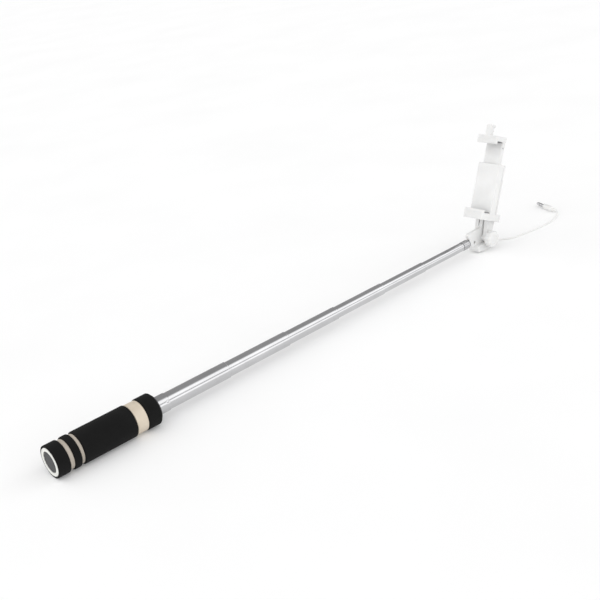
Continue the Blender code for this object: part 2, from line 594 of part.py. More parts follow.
# ---------------------------------------------------------------- plug
PLUG_TURN = PLUG_DIR.to_track_quat("Z", "Y").to_euler()
plug = turned("plug_body", [(0.0, 0.0), (0.0, 1.15), (7.0, 1.7), (8.0, 2.9), (21.5, 2.9),
                            (22.0, 2.5), (22.0, 0.0)], CORD_WHITE, STICK, "Z", PLUG_AT, 16)
plug.rotation_euler = PLUG_TURN
pin = turned("plug_pin", [(22.3, 0.0), (22.3, 1.75), (33.3, 1.75), (34.1, 1.2), (34.9, 1.5),
                          (36.2, 0.5), (36.2, 0.0)], CHROME, STICK, "Z", PLUG_AT, 16)
pin.rotation_euler = PLUG_TURN

for ob in PARTS.objects:
    if ob.type == "MESH":
        smooth(ob)
bpy.context.view_layer.update()
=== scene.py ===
import json
import math

import bmesh
import bpy
from mathutils import Matrix, Vector, noise

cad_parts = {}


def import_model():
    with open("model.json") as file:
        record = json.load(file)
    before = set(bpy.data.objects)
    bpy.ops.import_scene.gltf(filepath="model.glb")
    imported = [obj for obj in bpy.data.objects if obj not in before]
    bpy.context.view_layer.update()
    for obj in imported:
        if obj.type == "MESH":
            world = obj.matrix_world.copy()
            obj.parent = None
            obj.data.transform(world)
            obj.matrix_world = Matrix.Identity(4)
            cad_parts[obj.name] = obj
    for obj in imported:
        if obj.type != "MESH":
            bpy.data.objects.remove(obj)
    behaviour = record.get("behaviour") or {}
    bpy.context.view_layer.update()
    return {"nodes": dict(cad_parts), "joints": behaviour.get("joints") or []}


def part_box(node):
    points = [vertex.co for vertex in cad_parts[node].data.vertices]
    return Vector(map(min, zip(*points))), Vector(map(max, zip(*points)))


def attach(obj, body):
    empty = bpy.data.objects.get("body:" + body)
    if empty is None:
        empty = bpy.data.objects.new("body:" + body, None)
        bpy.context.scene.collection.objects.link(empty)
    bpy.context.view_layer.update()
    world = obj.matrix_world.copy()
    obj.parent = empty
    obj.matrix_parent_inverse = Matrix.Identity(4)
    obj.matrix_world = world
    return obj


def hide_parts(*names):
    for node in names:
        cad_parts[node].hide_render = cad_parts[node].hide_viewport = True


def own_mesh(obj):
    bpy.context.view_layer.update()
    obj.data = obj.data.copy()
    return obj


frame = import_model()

MM = 0.001

# ------------------------------------------------------------------ places, from the frame
# stick coordinates are in mm: x from the handle's rear, z from the rod's axis
cap_lo, cap_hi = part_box("end_cap")
tube_lo, tube_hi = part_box("rod_tube_1")
ORIGIN = Vector((cap_lo.x - 1.0 * MM, (tube_lo.y + tube_hi.y) / 2, (tube_lo.z + tube_hi.z) / 2))
GRIP_R = 13.6
FLOOR_Z = -GRIP_R
PIVOT = (509.0, 0.0, -1.0)
LEAN = math.radians(23.9)
JAW_LOW, JAW_HIGH = 26.0, 96.0
STICK = Matrix.Translation(ORIGIN) @ Matrix.Scale(MM, 4)
CLAMP = STICK @ Matrix.Translation(PIVOT) @ Matrix.Rotation(LEAN, 4, "Y")
JAW = CLAMP @ Matrix.Translation((0, 0, JAW_HIGH))
JOINT = {j["name"]: j for j in frame["joints"]}


def world(x, y, z):
    return STICK @ Vector((x, y, z))


# ------------------------------------------------------------------ camera
right = Vector((0.736, -0.660, -0.149))
ahead = Vector((0.569, 0.722, -0.393)).normalized()
right = (right - ahead * right.dot(ahead)).normalized()
up = right.cross(ahead).normalized()
cam_data = bpy.data.cameras.new("camera")
cam_data.lens = 60
cam_data.sensor_width = 36
cam_data.clip_start = 0.01
camera = bpy.data.objects.new("camera", cam_data)
bpy.context.scene.collection.objects.link(camera)
spot = Matrix((right, up, -ahead)).transposed().to_4x4()
spot.translation = world(-240.6, -634.1, 372.3) + up * 1.2 * MM
camera.matrix_world = spot
bpy.context.scene.camera = camera


# ------------------------------------------------------------------ materials
def nodes_of(name):
    mat = bpy.data.materials.new(name)
    mat.use_nodes = True
    tree = mat.node_tree
    return mat, tree, tree.nodes["Principled BSDF"]


def noise_tex(tree, scale, detail=3.0, rough=0.55, stretch=None):
    coord = tree.nodes.new("ShaderNodeTexCoord")
    tex = tree.nodes.new("ShaderNodeTexNoise")
    tex.inputs["Scale"].default_value = scale
    tex.inputs["Detail"].default_value = detail
    tex.inputs["Roughness"].default_value = rough
    if stretch:
        mapping = tree.nodes.new("ShaderNodeMapping")
        mapping.inputs["Scale"].default_value = stretch
        tree.links.new(coord.outputs["Object"], mapping.inputs["Vector"])
        tree.links.new(mapping.outputs["Vector"], tex.inputs["Vector"])
    else:
        tree.links.new(coord.outputs["Object"], tex.inputs["Vector"])
    return tex


def ramp(tree, source, stops):
    node = tree.nodes.new("ShaderNodeValToRGB")
    while len(node.color_ramp.elements) < len(stops):
        node.color_ramp.elements.new(0.5)
    for element, (at, rgb) in zip(node.color_ramp.elements, stops):
        element.position = at
        element.color = (*rgb, 1.0)
    tree.links.new(source, node.inputs["Fac"])
    return node


def spread(tree, source, low, high):
    node = tree.nodes.new("ShaderNodeMapRange")
    node.inputs["To Min"].default_value = low
    node.inputs["To Max"].default_value = high
    tree.links.new(source, node.inputs["Value"])
    return node


def bump(tree, shader, source, strength, distance, under=None):
    node = tree.nodes.new("ShaderNodeBump")
    node.inputs["Strength"].default_value = strength
    node.inputs["Distance"].default_value = distance
    tree.links.new(source, node.inputs["Height"])
    if under:
        tree.links.new(under.outputs["Normal"], node.inputs["Normal"])
    tree.links.new(node.outputs["Normal"], shader.inputs["Normal"])
    return node


def grey(v, warm=0.0):
    return (v + warm, v, v - warm)


def foam_material():
    mat, tree, sh = nodes_of("foam")
    cloud = noise_tex(tree, 90, 3)
    grain = noise_tex(tree, 1500, 2, 0.6)
    mix = tree.nodes.new("ShaderNodeMath")
    mix.operation = "MULTIPLY_ADD"
    mix.inputs[1].default_value = 0.45
    tree.links.new(grain.outputs["Fac"], mix.inputs[0])
    half = spread(tree, cloud.outputs["Fac"], 0.1, 0.45)
    tree.links.new(half.outputs["Result"], mix.inputs[2])
    tone = ramp(tree, mix.outputs[0], [(0.25, grey(0.0032)), (0.55, grey(0.0062)), (0.85, grey(0.014))])
    tree.links.new(tone.outputs["Color"], sh.inputs["Base Color"])
    rough = spread(tree, grain.outputs["Fac"], 0.82, 0.98)
    tree.links.new(rough.outputs["Result"], sh.inputs["Roughness"])
    sh.inputs["Specular IOR Level"].default_value = 0.14
    sh.inputs["Sheen Weight"].default_value = 0.015
    sh.inputs["Sheen Roughness"].default_value = 0.6
    pores = tree.nodes.new("ShaderNodeTexVoronoi")
    pores.inputs["Scale"].default_value = 1100
    coord = tree.nodes.new("ShaderNodeTexCoord")
    tree.links.new(coord.outputs["Object"], pores.inputs["Vector"])
    low = bump(tree, sh, grain.outputs["Fac"], 0.5, 0.0003)
    bump(tree, sh, pores.outputs["Distance"], 0.35, 0.00025, low)
    return mat


def plastic(name, low, high, rough, grain=2200, depth=0.00002, subsurface=0.0, coat=0.0):
    """Moulded plastic: faint tone clouds, fine mould texture, slightly uneven gloss."""
    mat, tree, sh = nodes_of(name)
    cloud = noise_tex(tree, 55, 4)
    tone = ramp(tree, cloud.outputs["Fac"], [(0.3, low), (0.7, high)])
    tree.links.new(tone.outputs["Color"], sh.inputs["Base Color"])
    fine = noise_tex(tree, grain, 2)
    gloss = spread(tree, cloud.outputs["Fac"], rough - 0.06, rough + 0.08)
    tree.links.new(gloss.outputs["Result"], sh.inputs["Roughness"])
    bump(tree, sh, fine.outputs["Fac"], 0.25, depth)
    sh.inputs["IOR"].default_value = 1.5
    if subsurface:
        sh.inputs["Subsurface Weight"].default_value = subsurface
        sh.inputs["Subsurface Radius"].default_value = (0.003, 0.0025, 0.002)
        sh.inputs["Subsurface Scale"].default_value = 0.4
    if coat:
        sh.inputs["Coat Weight"].default_value = coat
        sh.inputs["Coat Roughness"].default_value = 0.25
    return mat


def metal(name, low, high, rough, stretch=(1, 1, 1), scratch=0.00001, uneven=0.05):
    """Drawn metal: fine lines along the stretch, faint smears in the gloss."""
    mat, tree, sh = nodes_of(name)
    sh.inputs["Metallic"].default_value = 1.0
    lines = noise_tex(tree, 900, 3, 0.6, stretch)
    smear = noise_tex(tree, 38, 4, 0.6)
    tone = ramp(tree, smear.outputs["Fac"], [(0.3, low), (0.7, high)])
    tree.links.new(tone.outputs["Color"], sh.inputs["Base Color"])
    gloss = spread(tree, smear.outputs["Fac"], max(0.02, rough - uneven), rough + uneven)
    tree.links.new(gloss.outputs["Result"], sh.inputs["Roughness"])
    bump(tree, sh, lines.outputs["Fac"], 0.12, scratch)
    return mat


FOAM = foam_material()
CREAM = plastic("cream_plastic", (0.54, 0.465, 0.37), (0.66, 0.58, 0.47), 0.42, 1800, 0.00003)
# darker copy of the cream plastic for the spacer rings sunk between the foam rings: painted shade
CREAM_PAINTED_SHADE = plastic("cream_plastic_spacer_painted_shade", (0.39, 0.345, 0.29), (0.46, 0.41, 0.35), 0.45, 1800, 0.00003)
WHITE = plastic("white_plastic", (0.70, 0.70, 0.695), (0.76, 0.76, 0.755), 0.32, 2000, 0.00002, 0.05)
CAP_WHITE = plastic("cap_white", (0.72, 0.72, 0.68), (0.78, 0.78, 0.745), 0.3, 2000, 0.00002)
DISC = plastic("disc_grey", (0.026, 0.026, 0.028), (0.042, 0.042, 0.045), 0.55, 900, 0.00006)
BLACK = plastic("black_plastic", (0.014, 0.014, 0.015), (0.024, 0.024, 0.025), 0.45)
PAD = plastic("soft_pad", (0.19, 0.19, 0.2), (0.27, 0.27, 0.28), 0.78, 1300, 0.00012)
BOARD = plastic("circuit_board", (0.012, 0.09, 0.03), (0.02, 0.14, 0.05), 0.4, 700, 0.00004)
CORD = plastic("cord_jacket", (0.74, 0.74, 0.73), (0.82, 0.82, 0.81), 0.48, 1500, 0.00005, 0.05)
LEAD = plastic("lead_jacket", (0.012, 0.012, 0.013), (0.026, 0.026, 0.027), 0.5, 1500, 0.00005)
CHROME = metal("chrome", (0.53, 0.53, 0.54), (0.60, 0.60, 0.61), 0.11, (0.02, 1, 1), 0.000006, 0.04)
NECK = metal("neck_chrome", (0.42, 0.42, 0.43), (0.55, 0.55, 0.56), 0.2, (1, 0.05, 1), 0.000008, 0.06)
STEEL = metal("plated_steel", (0.40, 0.40, 0.41), (0.55, 0.55, 0.55), 0.34, (1, 1, 1), 0.00002, 0.08)
BRASS = metal("spring_brass", (0.62, 0.42, 0.17), (0.74, 0.54, 0.26), 0.33, (0.1, 1, 1), 0.00001, 0.08)


# ------------------------------------------------------------------ modelling helpers
def show(name, mesh, mat, body, replaced=(), place=STICK, angle=35):
    """A finished piece: mesh in local mm, put in the row frame, riding on its body."""
    mesh.transform(place)
    ob = bpy.data.objects.new(name, mesh)
    bpy.context.scene.collection.objects.link(ob)
    mesh.materials.clear()
    mesh.materials.append(mat)
    mesh.shade_smooth()
    mesh.set_sharp_from_angle(angle=math.radians(angle))
    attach(ob, body)
    if replaced:
        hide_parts(*replaced)
    return ob


def fillet(points, radii, closed=True, n=4):
    """Rounds the corners of an outline; radii is one number or one for each corner."""
    pts = [Vector(p) for p in points]
    if not hasattr(radii, "__len__"):
        radii = [radii] * len(pts)
    out = []
    for i, (p, r) in enumerate(zip(pts, radii)):
        if r <= 0 or (not closed and i in (0, len(pts) - 1)):
            out.append(tuple(p))
            continue
        a, b = pts[i - 1], pts[(i + 1) % len(pts)]
        la, lb = (a - p).length, (b - p).length
        reach = min(r, la * 0.49, lb * 0.49)
        s, e = p + (a - p) / la * reach, p + (b - p) / lb * reach
        for k in range(n + 1):
            t = k / n
            out.append(tuple(s * (1 - t) ** 2 + p * 2 * t * (1 - t) + e * t * t))
    return out


def turn_matrix(direction, at):
    quat = Vector(direction).to_track_quat("Z", "Y")
    return Matrix.Translation(at) @ quat.to_matrix().to_4x4()


def lathe(profile, direction="X", at=(0, 0, 0), steps=96, wave=None):
    """Mesh turned about an axis through `at`.  profile is (along, radius); wave changes the
    radius with (along, radius, angle)."""
    basis = {"X": (1, 0, 0), "Y": (0, 1, 0), "Z": (0, 0, 1)}
    place = turn_matrix(basis[direction] if isinstance(direction, str) else direction, at)
    solid = profile[0][1] < 1e-9 and profile[-1][1] < 1e-9
    bm = bmesh.new()
    rings = []
    for s, r in profile:
        if r < 1e-9:
            rings.append([bm.verts.new(place @ Vector((0, 0, s)))])
            continue
        ring = []
        for k in range(steps):
            a = 2 * math.pi * k / steps
            q = wave(s, r, a) if wave else r
            ring.append(bm.verts.new(place @ Vector((q * math.cos(a), q * math.sin(a), s))))
        rings.append(ring)
    pairs = list(zip(rings, rings[1:]))
    if not solid:
        pairs.append((rings[-1], rings[0]))
    for a, b in pairs:
        if len(a) == 1 and len(b) == 1:
            continue
        for k in range(steps):
            m = (k + 1) % steps
            if len(a) == 1:
                bm.faces.new((a[0], b[m], b[k]))
            elif len(b) == 1:
                bm.faces.new((a[k], a[m], b[0]))
            else:
                bm.faces.new((a[k], a[m], b[m], b[k]))
    bmesh.ops.recalc_face_normals(bm, faces=bm.faces)
    mesh = bpy.data.meshes.new("turned")
    bm.to_mesh(mesh)
    bm.free()
    return mesh


def dense(profile, step):
    """Adds points along the profile's long straights."""
    out = []
    for (s0, r0), (s1, r1) in zip(profile, profile[1:]):
        n = max(1, round(math.hypot(s1 - s0, r1 - r0) / step))
        out += [(s0 + (s1 - s0) * k / n, r0 + (r1 - r0) * k / n) for k in range(n)]
    return out + [profile[-1]]


def slab(outline, low, high, plane="XZ", edge=0.0, segments=3):
    """A flat outline with a thickness and softly rounded edges, as a mesh in local mm."""
    bm = bmesh.new()
    if plane == "XZ":
        verts = [bm.verts.new((a, low, b)) for a, b in outline]
        move = Vector((0, high - low, 0))
    else:
        verts = [bm.verts.new((a, b, low)) for a, b in outline]
        move = Vector((0, 0, high - low))
    face = bm.faces.new(verts)
    made = bmesh.ops.extrude_face_region(bm, geom=[face])
    bmesh.ops.translate(bm, vec=move, verts=[v for v in made["geom"] if isinstance(v, bmesh.types.BMVert)])
    bmesh.ops.recalc_face_normals(bm, faces=bm.faces)
    if edge:
        sharp = [e for e in bm.edges if e.is_manifold and e.calc_face_angle(0) > math.radians(55)]
        bmesh.ops.bevel(bm, geom=sharp, offset=edge, segments=segments, affect="EDGES", profile=0.5,
                        clamp_overlap=True)
    mesh = bpy.data.meshes.new("slab")
    bm.to_mesh(mesh)
    bm.free()
    return mesh


def block(low, high, edge=0.0, segments=3):
    return slab([(low[0], low[2]), (high[0], low[2]), (high[0], high[2]), (low[0], high[2])],
                low[1], high[1], "XZ", edge, segments)


def shape(first, *steps):
    """Combines meshes in order: steps are ("+", mesh) and ("-", mesh)."""
    base = bpy.data.objects.new("base", first)
    bpy.context.scene.collection.objects.link(base)
    others = []
    for sign, mesh in steps:
        other = bpy.data.objects.new("other", mesh)
        bpy.context.scene.collection.objects.link(other)
        others.append(other)
        mod = base.modifiers.new("b", "BOOLEAN")
        mod.operation = "UNION" if sign == "+" else "DIFFERENCE"
        mod.solver = "EXACT"
        mod.object = other
    bpy.context.view_layer.update()
    graph = bpy.context.evaluated_depsgraph_get()
    mesh = bpy.data.meshes.new_from_object(base.evaluated_get(graph))
    for ob in [base, *others]:
        bpy.data.objects.remove(ob, do_unlink=True)
    return mesh


def together(*meshes):
    """Several separate meshes as one."""
    bm = bmesh.new()
    for mesh in meshes:
        bm.from_mesh(mesh)
    out = bpy.data.meshes.new("together")
    bm.to_mesh(out)
    bm.free()
    return out


def tube_along(points, radius, sides=12):
    """A round tube with closed ends through the points, as a mesh."""
    pts = [Vector(p) for p in points]
    bm = bmesh.new()
    rings, normal = [], None
    for i, p in enumerate(pts):
        tangent = (pts[min(i + 1, len(pts) - 1)] - pts[max(i - 1, 0)]).normalized()
        if normal is None:
            normal = tangent.orthogonal().normalized()
        else:
            normal = (normal - tangent * normal.dot(tangent)).normalized()
        side = tangent.cross(normal)
        rings.append([bm.verts.new(p + (normal * math.cos(a) + side * math.sin(a)) * radius)
                      for a in (2 * math.pi * k / sides for k in range(sides))])
    for a, b in zip(rings, rings[1:]):
        for k in range(sides):
            m = (k + 1) % sides
            bm.faces.new((a[k], a[m], b[m], b[k]))
    bm.faces.new(rings[0])
    bm.faces.new(rings[-1])
    bmesh.ops.recalc_face_normals(bm, faces=bm.faces)
    mesh = bpy.data.meshes.new("tube")
    bm.to_mesh(mesh)
    bm.free()
    return mesh


def arc(cx, cz, radius, start, end, count):
    return [(cx + radius * math.cos(math.radians(start + (end - start) * i / (count - 1))),
             cz + radius * math.sin(math.radians(start + (end - start) * i / (count - 1))))
            for i in range(count)]


def smooth_route(points, step):
    pts = [Vector(p) for p in points]
    pts = [2 * pts[0] - pts[1]] + pts + [2 * pts[-1] - pts[-2]]
    fine = []
    for i in range(1, len(pts) - 2):
        p0, p1, p2, p3 = pts[i - 1:i + 3]
        t0 = 0.0
        t1 = t0 + max((p1 - p0).length, 1e-6) ** 0.5
        t2 = t1 + max((p2 - p1).length, 1e-6) ** 0.5
        t3 = t2 + max((p3 - p2).length, 1e-6) ** 0.5
        for k in range(40):
            t = t1 + (t2 - t1) * k / 40
            a1 = p0 * ((t1 - t) / (t1 - t0)) + p1 * ((t - t0) / (t1 - t0))
            a2 = p1 * ((t2 - t) / (t2 - t1)) + p2 * ((t - t1) / (t2 - t1))
            a3 = p2 * ((t3 - t) / (t3 - t2)) + p3 * ((t - t2) / (t3 - t2))
            b1 = a1 * ((t2 - t) / (t2 - t0)) + a2 * ((t - t0) / (t2 - t0))
            b2 = a2 * ((t3 - t) / (t3 - t1)) + a3 * ((t - t1) / (t3 - t1))
            fine.append(b1 * ((t2 - t) / (t2 - t1)) + b2 * ((t - t1) / (t2 - t1)))
    fine.append(pts[-2])
    total = sum((b - a).length for a, b in zip(fine, fine[1:]))
    count = max(2, round(total / step))
    out, run, want = [fine[0]], 0.0, total / count
    for a, b in zip(fine, fine[1:]):
        seg = (b - a).length
        while len(out) < count and run + seg >= want * len(out):
            out.append(a.lerp(b, (want * len(out) - run) / seg))
        run += seg
    out.append(fine[-1])
    return out


# ------------------------------------------------------------------ cord and plug
CORD_R = 0.75
LIE = FLOOR_Z + CORD_R + 0.1
GLAND_TIP = 523.5
PLUG_AT = Vector((626.0, -8.2, FLOOR_Z + 3.1))
PLUG_DIR = Vector((0.338, 0.941, 0.0)).normalized()
ROUTE = [(GLAND_TIP + 0.3, 0, -9.5), (526.8, 0, -9.6), (530.6, -0.3, -11.0),
         (534.6, -1.9, -12.4), (538.2, -5.2, LIE), (541.8, -8.8, LIE), (546.4, -11.2, LIE),
         (554.0, -12.8, LIE), (562.4, -14.5, LIE), (575.8, -16.7, LIE), (587.8, -18.0, LIE),
         (599.0, -18.4, LIE), (609.5, -16.9, LIE), (617.6, -14.0, -12.5), (622.6, -11.8, -11.4),
         tuple(PLUG_AT - PLUG_DIR * 0.3)]
line = [world(*p) for p in smooth_route(ROUTE, 1.4)]
curve = bpy.data.curves.new("cord_line", "CURVE")
curve.dimensions = "3D"
curve.bevel_depth = CORD_R * MM
curve.bevel_resolution = 4
curve.use_fill_caps = True
spline = curve.splines.new("POLY")
spline.points.add(len(line) - 1)
for point, p in zip(spline.points, line):
    point.co = (*p, 1.0)
curve.materials.append(CORD)
cord = bpy.data.objects.new("free_cord", curve)
bpy.context.scene.collection.objects.link(cord)
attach(cord, "head")
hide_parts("cord")

ribs = []
for k in range(4):
    s = 1.0 + k * 1.45
    r = 1.15 + 0.55 * s / 7.0
    ribs += [(s, r), (s + 0.2, r + 0.22), (s + 0.75, r + 0.26), (s + 0.95, r + 0.06)]
plug_profile = ([(0.0, 0.0), (0.0, 1.0), (0.2, 1.15)] + ribs + [(7.0, 1.7)]
                + fillet([(7.0, 1.7), (7.9, 2.9), (20.2, 2.9), (22.0, 2.75), (22.0, 0.0)],
                         [0, 0.5, 0.6, 0.5, 0], False)[1:])
plug = show("plug_shell", lathe(plug_profile, PLUG_DIR, PLUG_AT, 64), CORD, "head",
            ["plug_body"])
pin_profile = [(22.3, 0.0), (22.3, 2.3), (23.0, 2.3), (23.1, 1.75), (26.2, 1.75), (26.25, 1.66),
               (26.75, 1.66), (26.8, 1.75), (29.4, 1.75), (29.45, 1.66), (29.95, 1.66), (30.0, 1.75),
               (33.0, 1.75), (33.4, 1.6), (34.1, 1.15), (34.5, 1.3), (34.9, 1.5), (35.5, 1.35),
               (36.0, 0.8), (36.2, 0.3), (36.2, 0.0)]
pin = show("plug_jack", lathe(pin_profile, PLUG_DIR, PLUG_AT, 48), CHROME, "head",
           ["plug_pin"])
bands = together(*[lathe([(s, 1.6), (s, 1.72), (s + 0.5, 1.72), (s + 0.5, 1.6)], PLUG_DIR, PLUG_AT, 48)
                   for s in (26.25, 29.45)])
pin_bands = show("plug_jack_bands", bands, BLACK, "head")

# ------------------------------------------------------------------ foam sleeves
BORE = 11.6


def sleeve(name, node, x0, x1, rear_bore=None):
    """Foam sleeve: soft rolled rims, a slight crown between them, faint hand-worn unevenness."""
    bore = rear_bore or BORE
    outline = [(x0, bore + 0.02), (x0, GRIP_R), (x1, GRIP_R), (x1, BORE + 0.02)]
    pts = fillet(outline, [0.25, 1.35, 1.35, 0.25], False, 8)
    pts = dense(pts, 1.0)
    if rear_bore:
        pts += [(x0 + 1.9, BORE + 0.02), (x0 + 1.9, bore + 0.02)]
    middle, half = (x0 + x1) / 2, (x1 - x0) / 2

    def wave(s, r, a):
        if r < GRIP_R - 1.4:
            return r
        share = min(1.0, (half - abs(s - middle)) / 3.0)
        spot = Vector((s * 0.16, 2.2 * math.cos(a), 2.2 * math.sin(a)))
        small = Vector((s * 0.9, 12 * math.cos(a), 12 * math.sin(a)))
        sink = 0.10 * (0.5 + 0.5 * noise.noise(spot)) + 0.035 * (0.5 + 0.5 * noise.noise(small))
        return r - sink * share - 0.06 * (1 - share)

    piece = show(name, lathe(pts, "X", (0, 0, 0), 144, wave), FOAM, "handle", [node])
    return piece


sleeve("foam_rear_end", "foam_ring_rear", 1.3, 11.7, rear_bore=12.1)
sleeve("foam_second", "foam_ring_second", 15.7, 21.4)
sleeve("foam_main", "foam_grip_main", 24.6, 71.8)
sleeve("foam_front", "foam_ring_front", 82.5, 94.5)

# ------------------------------------------------------------------ handle's hard pieces
BAND_R, BAND_X = 12.9, (72.1, 82.2)
BUTTON_X = sum(BAND_X) / 2


def spacer(name, node, x0, x1):
    profile = fillet([(x0, BORE), (x0, 12.3), (x1, 12.3), (x1, BORE)], [0, 0.3, 0.3, 0], True, 5)
    # the spacer rings take the darker cream copy: painted shade in the gaps between the foam rings
    return show(name, lathe(profile, "X"), CREAM_PAINTED_SHADE, "handle", [node])


spacer("spacer_rear", "spacer_ring_rear", 12.0, 15.4)
spacer("spacer_front", "spacer_ring_front", 21.7, 24.3)

shell = fillet([(3.2, 10.0), (3.2, 11.3), (72.1, 11.3), (72.1, BAND_R), (82.2, BAND_R), (82.2, 11.3),
                (94.2, 11.3), (94.2, 10.0)], [0.2, 0.2, 0, 0.7, 0.7, 0, 0.2, 0.2], True, 5)
shell_mesh = shape(lathe(shell, "X", (0, 0, 0), 128),
                   ("-", lathe([(6.0, 0), (6.0, 4.0), (11.85, 4.0), (11.85, 0)], "Y", (BUTTON_X, 0, 0), 48)),
                   ("-", lathe([(11.0, 0), (11.0, 3.3), (16.0, 3.3), (16.0, 0)], "Y", (BUTTON_X, 0, 0), 48)))
show("grip_shell", shell_mesh, CREAM, "handle", ["handle_shell"])

button = fillet([(10.95, 0), (10.95, 3.7), (11.55, 3.7), (11.55, 3.0), (13.35, 3.0), (13.5, 1.8), (13.42, 0)],
                [0, 0.1, 0.1, 0, 0.35, 0.5, 0], False, 5)
show("button_cap", lathe(button, "Y", (BUTTON_X, 0, 0), 64), WHITE, "button",
     ["shutter_button"])

cap = fillet([(2.7, 0), (2.7, 8.9), (1.0, 8.9), (1.0, 11.8), (2.9, 11.8), (2.9, 9.7), (9.0, 9.7),
              (9.0, 8.0), (4.4, 8.0), (4.4, 0)], [0, 0, 0.35, 0.55, 0.1, 0, 0.3, 0.3, 0, 0], False, 6)
show("rear_cap", lathe(cap, "X"), CAP_WHITE, "handle", ["end_cap"])
disc = [(2.4, 0.0), (2.4, 8.6), (1.75, 8.6), (1.45, 8.35), (1.36, 8.0), (1.34, 7.4), (1.42, 7.3),
        (1.42, 7.15), (1.34, 7.05), (1.36, 4.0), (1.38, 0.0)]
show("rear_disc", lathe(disc, "X"), DISC, "handle", ["end_disc"])

bush = fillet([(85.6, 8.0), (85.6, 9.7), (94.8, 9.7), (94.8, 11.6), (96.0, 11.5), (96.2, 8.9), (96.2, 8.0)],
              [0, 0, 0, 0.2, 0.5, 0.2, 0.15], True, 4)
show("bush_front", lathe(bush, "X"), BLACK, "handle", ["front_bush"])

# ------------------------------------------------------------------ telescopic rod
TUBE_R = [7.75 - 0.55 * i for i in range(7)]
TUBE_FRONT = [107.5, 170.0, 237.0, 297.0, 358.0, 416.5, 475.6]
BODY = ["handle"] + [f"rod_{k}" for k in range(2, 7)] + ["head"]
DIMPLE = (105.3, math.radians(155))


def rod_tube(i):
    """Chrome tube: rolled groove and turned-in lip at its front, thin wall all the way."""
    r, front = TUBE_R[i], TUBE_FRONT[i]
    rear = 31.3 if i == 0 else TUBE_FRONT[i - 1] - 10.0
    bore = r - 0.30
    lip = bore if i == 6 else TUBE_R[i + 1] + 0.06
    outer = [(rear, bore), (rear, r - 0.05), (rear + 0.05, r)]
    outer += dense([(rear + 0.05, r), (front - 6.0, r)], 6.0)[1:]
    outer += dense([(front - 6.0, r), (front - 2.4, r)], 0.4)[1:]
    if i == 0:
        outer += dense([(front - 2.4, r), (front - 0.6, r)], 0.3)[1:]
    else:
        outer += [(front - 2.2, r - 0.02), (front - 1.9, r - 0.13), (front - 1.6, r - 0.15),
                  (front - 1.3, r - 0.13), (front - 1.0, r - 0.02), (front - 0.6, r)]
    outer += [(front - 0.35, r - 0.03), (front - 0.12, r - 0.14), (front, r - 0.3), (front, lip)]
    if i != 6:
        outer += [(front - 1.2, lip), (front - 1.5, bore)]
    wave = None
    if i == 0:
        def wave(s, q, a):
            away = math.hypot(s - DIMPLE[0], (a - DIMPLE[1]) * r)
            if q > r - 0.2 and away < 1.6:
                return q - 0.30 * (0.5 + 0.5 * math.cos(math.pi * away / 1.6))
            return q
    mesh = lathe(outer, "X", (0, 0, 0), 128, wave)
    show(f"chrome_tube_{i + 1}", mesh, CHROME, BODY[i], [f"rod_tube_{i + 1}"])


for i in range(7):
    rod_tube(i)

# curly lead inside the rod, one fixed coil riding on each section
TRAVEL = [TUBE_FRONT[i] - TUBE_FRONT[i - 1] - 1.0 for i in range(1, 7)]
start = 31.5
for i in range(1, 7):
    length = TRAVEL[i - 1] + 12.2 - 0.3
    turns = round(length / 2.4)
    steps = turns * 10
    path = [(start + 0.6 + (length - 1.2) * k / steps, 1.75 * math.cos(2 * math.pi * k / 10),
             1.75 * math.sin(2 * math.pi * k / 10)) for k in range(steps + 1)]
    coil = show(f"curly_lead_{i + 1}", tube_along(path, 0.55, 6), LEAD, BODY[i - 1],
                [f"inner_lead_{i + 1}"], angle=80)
    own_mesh(coil)
    start += TRAVEL[i - 1] + 12.2

# ------------------------------------------------------------------ head
LEAD_Z = 2.5
neck_profile = fillet([(471.0, 0), (471.0, 3.95), (475.9, 3.95), (475.9, 4.7), (477.3, 4.7), (477.5, 4.45),
                       (478.1, 4.45), (478.3, 4.7), (483.9, 4.7), (484.8, 4.2), (486.0, 3.6), (486.0, 0)],
                      [0, 0.2, 0, 0.35, 0.15, 0.1, 0.1, 0.15, 0.4, 0.3, 0.3, 0], False, 4)
neck = shape(lathe(neck_profile, "X", (0, 0, 0), 72),
             ("+", block((484.0, -0.65, -3.6), (498.2, 0.65, 1.1), 0.1, 1)),
             ("-", lathe([(469.0, 0), (469.0, 0.85), (490.0, 0.85), (490.0, 0)], "X", (0, 0, LEAD_Z), 16)),
             ("-", lathe([(-3.0, 0), (-3.0, 1.4), (3.0, 1.4), (3.0, 0)], "Y", (494.0, 0, -1.2), 24)))
show("rod_neck", neck, NECK, "head", ["rod_tip_fitting"])
show("cross_pin", lathe(fillet([(-1.5, 0), (-1.5, 1.1), (1.5, 1.1), (1.5, 0)], [0, 0.25, 0.25, 0], False, 4),
                        "Y", (494.0, 0, -1.2), 48), STEEL, "head", ["head_pin"])

LEAF = [(490.6, -6.0), (489.0, -4.0), (487.8, 0.7), (484.8, 8.4), (485.2, 9.5), (486.5, 10.0),
        (506.5, 10.7), (509.5, 16.5), (510.3, 19.8), (511.3, 20.3), (514.0, 19.4),
        (516.2, 15.0), (516.6, 9.0), (516.6, -6.0)]
leaf = slab(fillet(LEAF, [0, 1.2, 1.5, 0.8, 0.8, 1.0, 2.2, 1.2, 0.8, 0.8, 1.2, 1.5, 1.5, 0], True, 5),
            -1.9, 1.9, "XZ", 0.4, 3)
foot = slab(fillet([(494.0, -11.4), (494.0, -5.5), (517.0, -5.5), (517.0, FLOOR_Z), (505.0, FLOOR_Z)],
                   [1.2, 1.2, 1.4, 1.0, 2.0], True, 5), -6.5, 6.5, "XZ", 0.7, 4)
CHANNEL = [(485.0, 0, LEAD_Z), (496.5, 0, LEAD_Z), (498.8, 0, 1.8), (500.3, 0, -0.3),
           (500.8, 0, -3.0), (501.0, 0, -6.0), (501.8, 0, -8.4), (503.8, 0, -9.4),
           (506.5, 0, -9.5), (519.0, 0, -9.5)]
